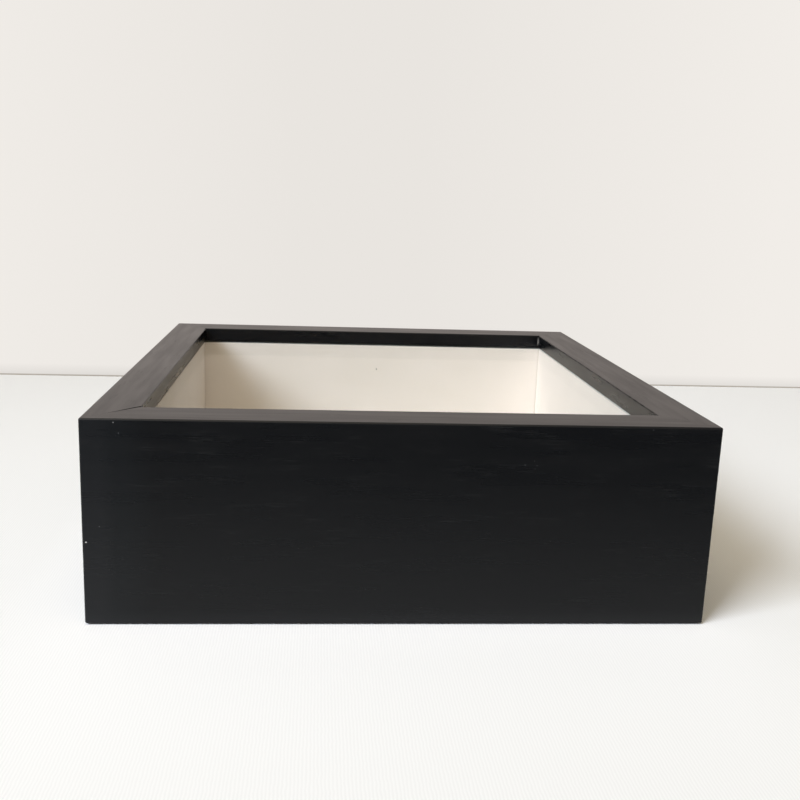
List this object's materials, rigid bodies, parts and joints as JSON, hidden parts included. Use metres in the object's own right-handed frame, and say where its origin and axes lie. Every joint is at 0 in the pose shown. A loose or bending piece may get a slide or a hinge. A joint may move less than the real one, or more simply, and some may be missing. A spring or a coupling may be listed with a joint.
{
  "type": "shadow box frame",
  "caption": "Deep square shadow box frame lying on its back: mitred black wooden rails round glass, white spacer walls, a backing board, turn buttons and a sawtooth hanger behind.",
  "frame": {"origin": "centre of the footprint, on the surface that the bumpers stand on", "axes": "+Z out of the glass, away from the wall when the frame hangs; -Y towards the rail that is at the bottom when it hangs, and towards the viewer as it lies; +X to the viewer's right"},
  "size_m": [0.2282, 0.2282, 0.0787],
  "materials": {
    "painted_wood": "satin black paint over open grain",
    "glass": "clear float glass, polished",
    "foam_board": "matte white paper face",
    "mat_board": "matte white, fine tooth",
    "hardboard": "smooth brown hardboard, dull",
    "zinc_steel": "bright zinc plate, stamped",
    "brass_plate": "brass-plated sheet, semi-bright",
    "bumper_rubber": "soft matte rubber"
  },
  "bodies": {
    "frame": {"rail_bottom": "painted_wood", "rail_right": "painted_wood", "rail_top": "painted_wood", "rail_left": "painted_wood", "glass_pane": "glass", "liner_bottom": "foam_board", "liner_right": "foam_board", "liner_top": "foam_board", "liner_left": "foam_board", "backing_mat": "mat_board", "backing_board": "hardboard", "button_screw_bottom_left": "zinc_steel", "button_screw_bottom_right": "zinc_steel", "button_screw_right_lower": "zinc_steel", "button_screw_right_upper": "zinc_steel", "button_screw_top_right": "zinc_steel", "button_screw_top_left": "zinc_steel", "button_screw_left_upper": "zinc_steel", "button_screw_left_lower": "zinc_steel", "v_nail_bottom_left": "zinc_steel", "v_nail_bottom_right": "zinc_steel", "v_nail_top_right": "zinc_steel", "v_nail_top_left": "zinc_steel", "sawtooth_hanger": "brass_plate", "hanger_nail_left": "brass_plate", "hanger_nail_right": "brass_plate", "bumper_bottom_left": "bumper_rubber", "bumper_bottom_right": "bumper_rubber", "bumper_top_right": "bumper_rubber", "bumper_top_left": "bumper_rubber"},
    "turn_button_bottom_left_body": {"turn_button_bottom_left": "zinc_steel"},
    "turn_button_bottom_right_body": {"turn_button_bottom_right": "zinc_steel"},
    "turn_button_right_lower_body": {"turn_button_right_lower": "zinc_steel"},
    "turn_button_right_upper_body": {"turn_button_right_upper": "zinc_steel"},
    "turn_button_top_right_body": {"turn_button_top_right": "zinc_steel"},
    "turn_button_top_left_body": {"turn_button_top_left": "zinc_steel"},
    "turn_button_left_upper_body": {"turn_button_left_upper": "zinc_steel"},
    "turn_button_left_lower_body": {"turn_button_left_lower": "zinc_steel"}
  },
  "joints": [
    {"name": "turn_button_bottom_left_swivel", "type": "hinge", "parent": "frame", "child": "turn_button_bottom_left_body", "pos_m": [-0.054, -0.1081, 0.0025], "axis": [0, 0, 1], "range_deg": [-90, 90]},
    {"name": "turn_button_bottom_right_swivel", "type": "hinge", "parent": "frame", "child": "turn_button_bottom_right_body", "pos_m": [0.054, -0.1081, 0.0025], "axis": [0, 0, 1], "range_deg": [-90, 90]},
    {"name": "turn_button_right_lower_swivel", "type": "hinge", "parent": "frame", "child": "turn_button_right_lower_body", "pos_m": [0.1081, -0.054, 0.0025], "axis": [0, 0, 1], "range_deg": [-90, 90]},
    {"name": "turn_button_right_upper_swivel", "type": "hinge", "parent": "frame", "child": "turn_button_right_upper_body", "pos_m": [0.1081, 0.054, 0.0025], "axis": [0, 0, 1], "range_deg": [-90, 90]},
    {"name": "turn_button_top_right_swivel", "type": "hinge", "parent": "frame", "child": "turn_button_top_right_body", "pos_m": [0.054, 0.1081, 0.0025], "axis": [0, 0, 1], "range_deg": [-90, 90]},
    {"name": "turn_button_top_left_swivel", "type": "hinge", "parent": "frame", "child": "turn_button_top_left_body", "pos_m": [-0.054, 0.1081, 0.0025], "axis": [0, 0, 1], "range_deg": [-90, 90]},
    {"name": "turn_button_left_upper_swivel", "type": "hinge", "parent": "frame", "child": "turn_button_left_upper_body", "pos_m": [-0.1081, 0.054, 0.0025], "axis": [0, 0, 1], "range_deg": [-90, 90]},
    {"name": "turn_button_left_lower_swivel", "type": "hinge", "parent": "frame", "child": "turn_button_left_lower_body", "pos_m": [-0.1081, -0.054, 0.0025], "axis": [0, 0, 1], "range_deg": [-90, 90]}
  ]
}
